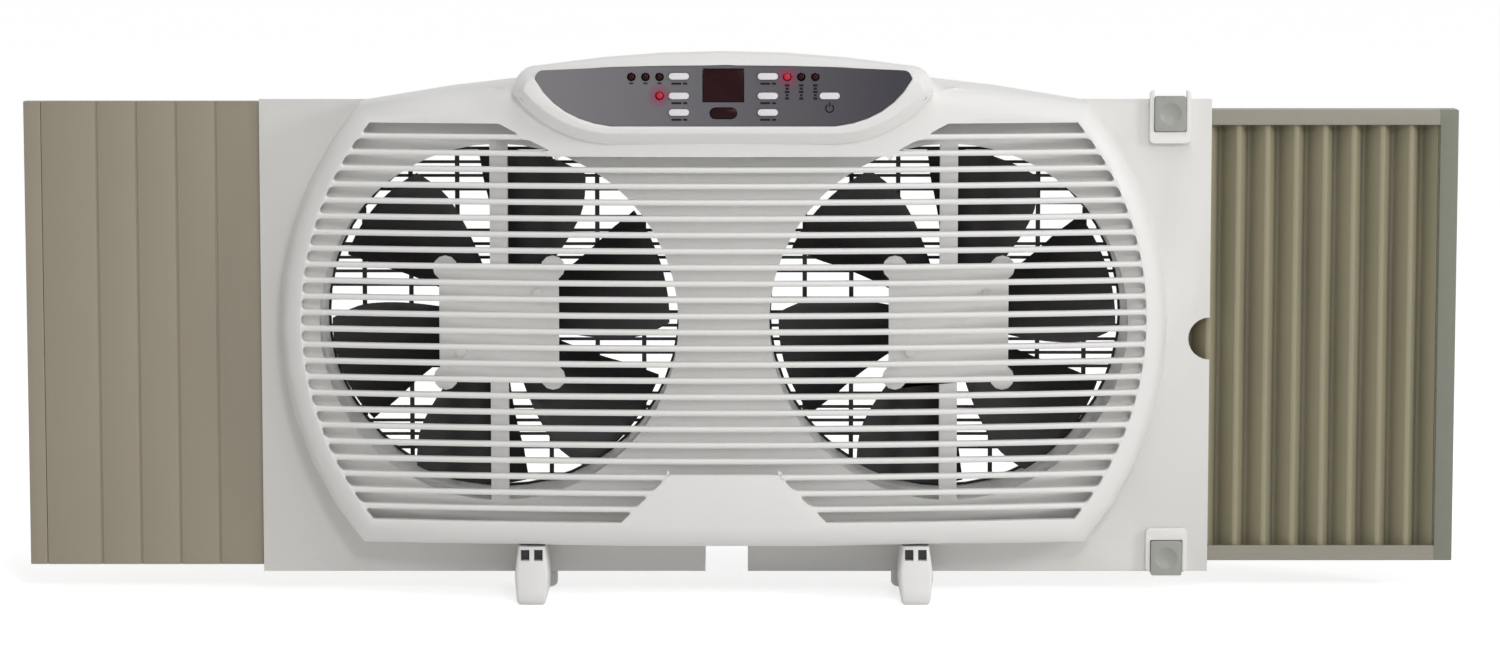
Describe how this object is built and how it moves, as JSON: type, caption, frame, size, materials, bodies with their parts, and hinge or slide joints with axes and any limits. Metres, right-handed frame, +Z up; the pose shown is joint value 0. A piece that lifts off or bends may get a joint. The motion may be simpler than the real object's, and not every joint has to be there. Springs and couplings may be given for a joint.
{
  "type": "window fan",
  "caption": "Twin window fan with a louvred housing, control pod, filler panel, sliding pleated panel, panel locks and clip-on feet.",
  "frame": {"origin": "centre of the overall box in plan, on the surface under the feet", "axes": "+X to the right seen from the room, +Y out through the window, +Z up"},
  "size_m": [0.9394, 0.1166, 0.359],
  "materials": {
    "housing_plastic": "fine satin texture",
    "shroud_plastic": "satin",
    "flange_plastic": "fine satin texture",
    "screw_steel": "zinc plated",
    "grille_black": "satin",
    "motor_steel": "laminated steel",
    "coil_tape": "varnished winding under tape",
    "shaft_steel": "ground",
    "blade_black": "satin",
    "fascia_grey": "printed satin overlay",
    "board_green": "solder mask",
    "smoked_lens": "smoked red lens",
    "module_black": "satin",
    "button_white": "satin",
    "lamp_lit": "lit red lens",
    "lamp_dark": "dark red lens",
    "panel_khaki": "satin vinyl",
    "frame_grey_green": "satin",
    "curtain_vinyl": "soft vinyl",
    "lock_grey": "satin",
    "foot_plastic": "satin",
    "gland_black": "matte"
  },
  "bodies": {
    "housing": {"front_housing": "housing_plastic", "fan_shroud": "shroud_plastic", "window_flange": "flange_plastic", "rear_housing": "flange_plastic", "rear_cover": "flange_plastic", "housing_screw_top_left": "screw_steel", "housing_screw_top_right": "screw_steel", "housing_screw_bottom_left": "screw_steel", "housing_screw_bottom_right": "screw_steel", "rear_grille_left": "grille_black", "rear_grille_right": "grille_black", "motor_left": "motor_steel", "motor_right": "motor_steel", "motor_coil_left": "coil_tape", "motor_coil_right": "coil_tape", "motor_screw_left_upper": "screw_steel", "motor_screw_left_lower": "screw_steel", "motor_screw_right_upper": "screw_steel", "motor_screw_right_lower": "screw_steel", "control_fascia": "fascia_grey", "control_board": "board_green", "display_window": "smoked_lens", "display_module": "module_black", "receiver_window": "smoked_lens", "receiver": "module_black", "lamp_left_status": "lamp_lit", "lamp_left_1": "lamp_dark", "lamp_left_2": "lamp_dark", "lamp_left_3": "lamp_dark", "lamp_right_1": "lamp_lit", "lamp_right_2": "lamp_dark", "lamp_right_3": "lamp_dark", "pleated_curtain": "curtain_vinyl", "lock_surround_upper": "housing_plastic", "lock_surround_lower": "housing_plastic", "cord_gland": "gland_black"},
    "left_fan": {"rotor_shaft_left": "shaft_steel", "fan_blade_left": "blade_black", "blade_clip_left": "shaft_steel"},
    "right_fan": {"rotor_shaft_right": "shaft_steel", "fan_blade_right": "blade_black", "blade_clip_right": "shaft_steel"},
    "left_panel": {"filler_panel": "panel_khaki", "filler_end_trim": "panel_khaki"},
    "right_panel": {"sliding_frame": "frame_grey_green"},
    "upper_lock": {"lock_tab_upper": "lock_grey"},
    "lower_lock": {"lock_tab_lower": "lock_grey"},
    "left_foot": {"foot_left": "foot_plastic"},
    "right_foot": {"foot_right": "foot_plastic"},
    "key_left_top": {"button_left_top": "button_white"},
    "key_left_middle": {"button_left_middle": "button_white"},
    "key_left_bottom": {"button_left_bottom": "button_white"},
    "key_right_top": {"button_right_top": "button_white"},
    "key_right_middle": {"button_right_middle": "button_white"},
    "key_right_bottom": {"button_right_bottom": "button_white"},
    "key_power": {"power_button": "button_white"}
  },
  "joints": [
    {"name": "left_fan_spin", "type": "hinge", "parent": "housing", "child": "left_fan", "pos_m": [-0.15775, 0.0263, 0.1815], "axis": [0, 1, 0], "continuous": true},
    {"name": "right_fan_spin", "type": "hinge", "parent": "housing", "child": "right_fan", "pos_m": [0.13525, 0.0263, 0.1815], "axis": [0, 1, 0], "continuous": true},
    {"name": "left_panel_slide", "type": "slide", "parent": "housing", "child": "left_panel", "axis": [-1, 0, 0], "range_m": [-0.008, 0.015]},
    {"name": "right_panel_slide", "type": "slide", "parent": "housing", "child": "right_panel", "axis": [-1, 0, 0], "range_m": [0, 0.12], "deforming": ["pleated_curtain"]},
    {"name": "upper_lock_slide", "type": "slide", "parent": "housing", "child": "upper_lock", "axis": [0, 0, 1], "range_m": [0, 0.004]},
    {"name": "lower_lock_slide", "type": "slide", "parent": "housing", "child": "lower_lock", "axis": [0, 0, -1], "range_m": [0, 0.004]},
    {"name": "left_foot_clip", "type": "slide", "parent": "housing", "child": "left_foot", "axis": [0, 0, -1], "range_m": [0, 0.02]},
    {"name": "right_foot_clip", "type": "slide", "parent": "housing", "child": "right_foot", "axis": [0, 0, -1], "range_m": [0, 0.02]},
    {"name": "left_top_press", "type": "slide", "parent": "housing", "child": "key_left_top", "axis": [0, 1, 0], "range_m": [0, 0.0007], "stiffness_N_per_m": 300, "springref_m": -0.0005},
    {"name": "left_middle_press", "type": "slide", "parent": "housing", "child": "key_left_middle", "axis": [0, 1, 0], "range_m": [0, 0.0007], "stiffness_N_per_m": 300, "springref_m": -0.0005},
    {"name": "left_bottom_press", "type": "slide", "parent": "housing", "child": "key_left_bottom", "axis": [0, 1, 0], "range_m": [0, 0.0007], "stiffness_N_per_m": 300, "springref_m": -0.0005},
    {"name": "right_top_press", "type": "slide", "parent": "housing", "child": "key_right_top", "axis": [0, 1, 0], "range_m": [0, 0.0007], "stiffness_N_per_m": 300, "springref_m": -0.0005},
    {"name": "right_middle_press", "type": "slide", "parent": "housing", "child": "key_right_middle", "axis": [0, 1, 0], "range_m": [0, 0.0007], "stiffness_N_per_m": 300, "springref_m": -0.0005},
    {"name": "right_bottom_press", "type": "slide", "parent": "housing", "child": "key_right_bottom", "axis": [0, 1, 0], "range_m": [0, 0.0007], "stiffness_N_per_m": 300, "springref_m": -0.0005},
    {"name": "power_press", "type": "slide", "parent": "housing", "child": "key_power", "axis": [0, 1, 0], "range_m": [0, 0.0007], "stiffness_N_per_m": 300, "springref_m": -0.0005}
  ]
}
